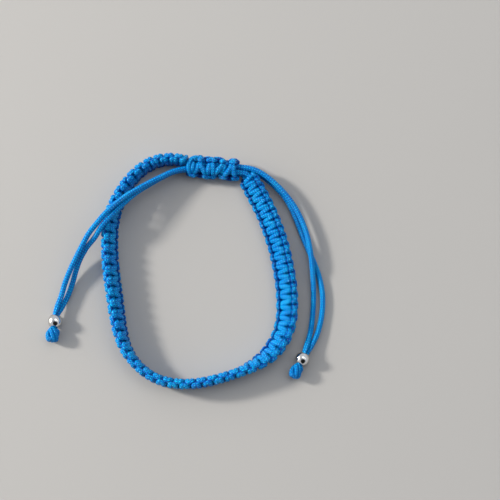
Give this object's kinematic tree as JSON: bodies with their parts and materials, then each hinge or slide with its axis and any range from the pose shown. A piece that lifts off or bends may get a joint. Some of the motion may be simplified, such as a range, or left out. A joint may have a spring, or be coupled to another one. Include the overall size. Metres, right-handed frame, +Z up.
{
  "type": "shamballa bracelet",
  "caption": "Blue cord bracelet tied in square knots, lying closed, with a sliding knot closure and beaded cord tails.",
  "frame": {"origin": "middle of the closed loop's box, on the surface that the bracelet lies on", "axes": "+Z up through the wrist hollow, +Y from the middle towards the sliding knot, +X towards the side where the band lies flattest"},
  "size_m": [0.0775, 0.0662, 0.0084],
  "materials": {
    "braided_cord": "bright blue braided synthetic cord, soft sheen",
    "steel_bead": "polished steel"
  },
  "bodies": {
    "root": {"macrame_band": "braided_cord", "sliding_knot": "braided_cord", "core_pair_inner": "braided_cord", "core_pair_outer": "braided_cord", "tail_left_upper": "braided_cord", "tail_left_lower": "braided_cord", "tail_right_upper": "braided_cord", "tail_right_lower": "braided_cord", "bead_left": "steel_bead", "bead_right": "steel_bead", "end_knot_left": "braided_cord", "end_knot_right": "braided_cord"}
  },
  "joints": []
}
